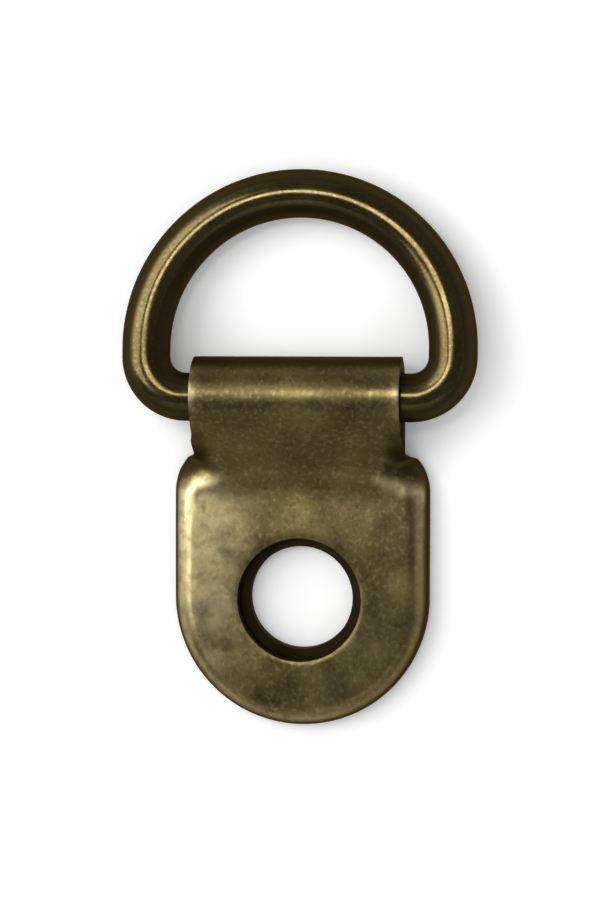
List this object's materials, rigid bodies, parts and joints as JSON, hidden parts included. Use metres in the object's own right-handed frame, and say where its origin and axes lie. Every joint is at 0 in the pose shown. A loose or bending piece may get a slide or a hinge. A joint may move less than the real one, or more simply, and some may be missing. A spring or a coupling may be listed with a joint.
{
  "type": "picture hanger with d-ring",
  "caption": "Small strap hanger for a picture frame: a folded brass strap with a screw hole, and a bent wire D-ring that swings in its roll and takes the hanging cord.",
  "frame": {"origin": "on the axis of the screw hole, at the mounting face of the back leaf", "axes": "+Z out of the front, away from the surface that the hanger is screwed to; +Y from the screw hole to the ring; X across the strap, along the ring's bar"},
  "size_m": [0.014, 0.022, 0.0032],
  "materials": {
    "antique_brass_strap": "antique brass plate, darkened in its hollows and worn bright on its edges",
    "antique_brass_wire": "antique brass plate on smooth drawn wire"
  },
  "bodies": {
    "strap": {"hanger_strap": "antique_brass_strap"},
    "ring": {"d_ring": "antique_brass_wire"}
  },
  "joints": [
    {"name": "ring_swing", "type": "hinge", "parent": "strap", "child": "ring", "pos_m": [0, 0.008, 0.0016], "axis": [1, 0, 0], "range_deg": [0, 178]}
  ]
}
